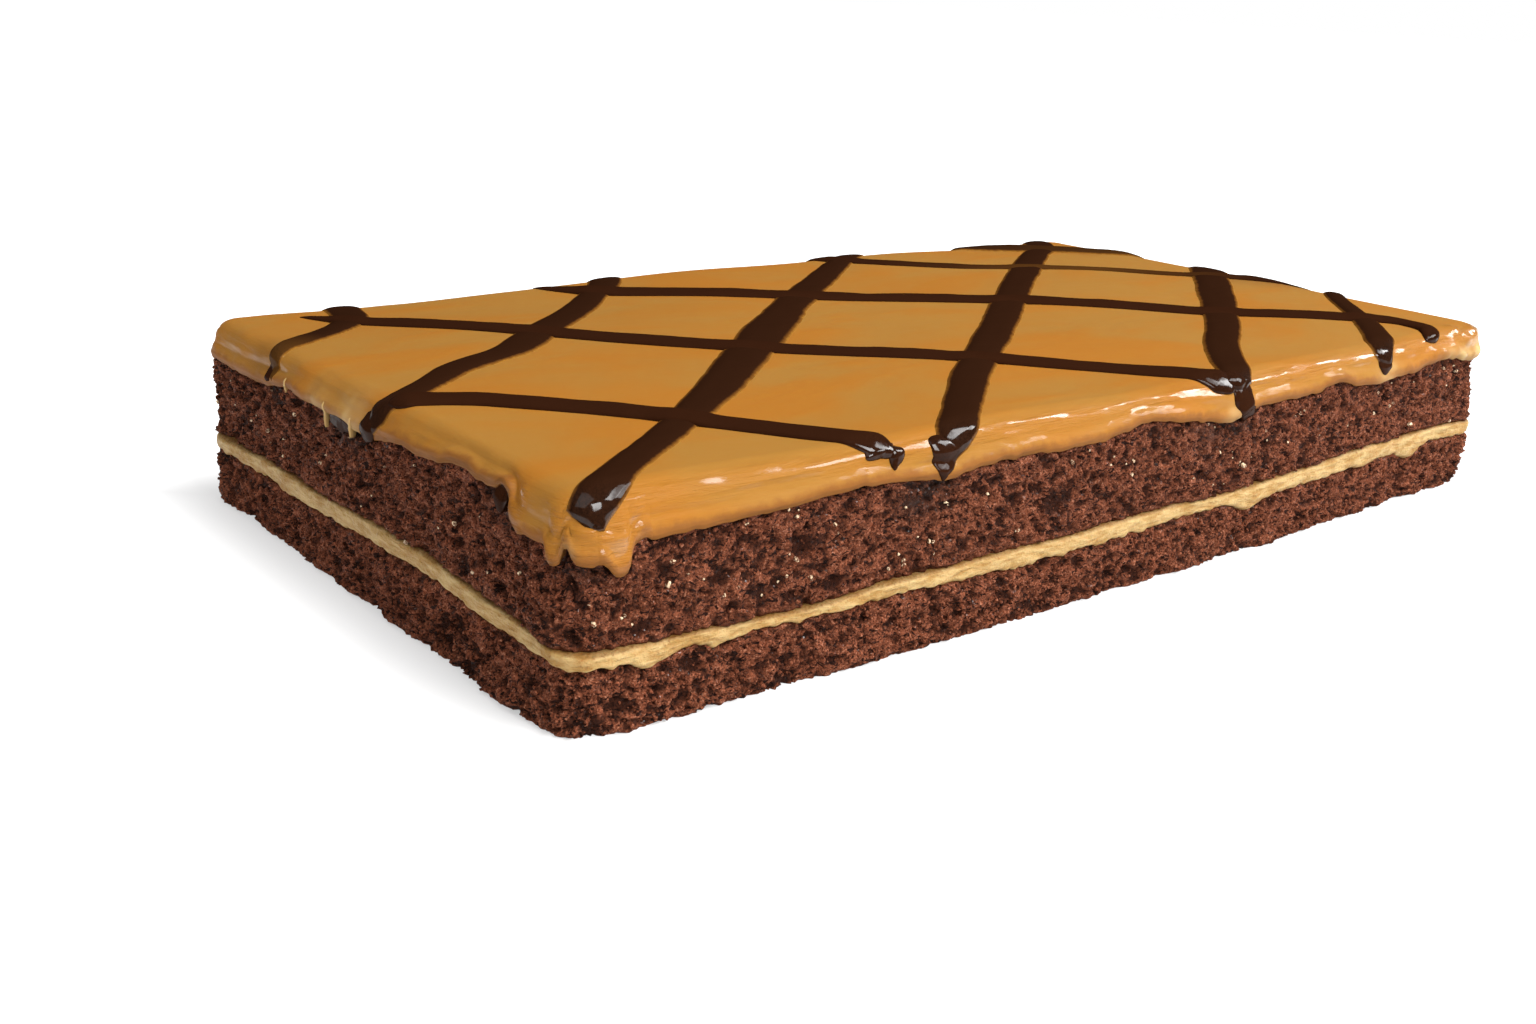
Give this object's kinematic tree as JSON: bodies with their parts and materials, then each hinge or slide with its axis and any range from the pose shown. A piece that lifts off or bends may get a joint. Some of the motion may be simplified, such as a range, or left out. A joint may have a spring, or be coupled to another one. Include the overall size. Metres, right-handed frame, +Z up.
{
  "type": "mocha cake",
  "caption": "Long low layer cake: dark sponge with a cream filling, coffee icing with a rounded rim, and a diagonal chocolate lattice drizzled over the top.",
  "frame": {"origin": "middle of the flat bottom that the cake stands on", "axes": "+X along the length of the cake, -Y towards the front long side, +Z up"},
  "size_m": [0.3331, 0.1838, 0.0516],
  "materials": {
    "lower_sponge": "open dark crumb, matt",
    "upper_sponge": "open dark crumb, matt and a little moist",
    "filling": "soft coffee cream, satin",
    "icing": "smooth coffee icing, glossy",
    "drizzle": "dark chocolate, half gloss"
  },
  "bodies": {
    "root": {"lower_sponge": "lower_sponge", "filling": "filling", "upper_sponge": "upper_sponge", "icing": "icing"}
  },
  "joints": []
}
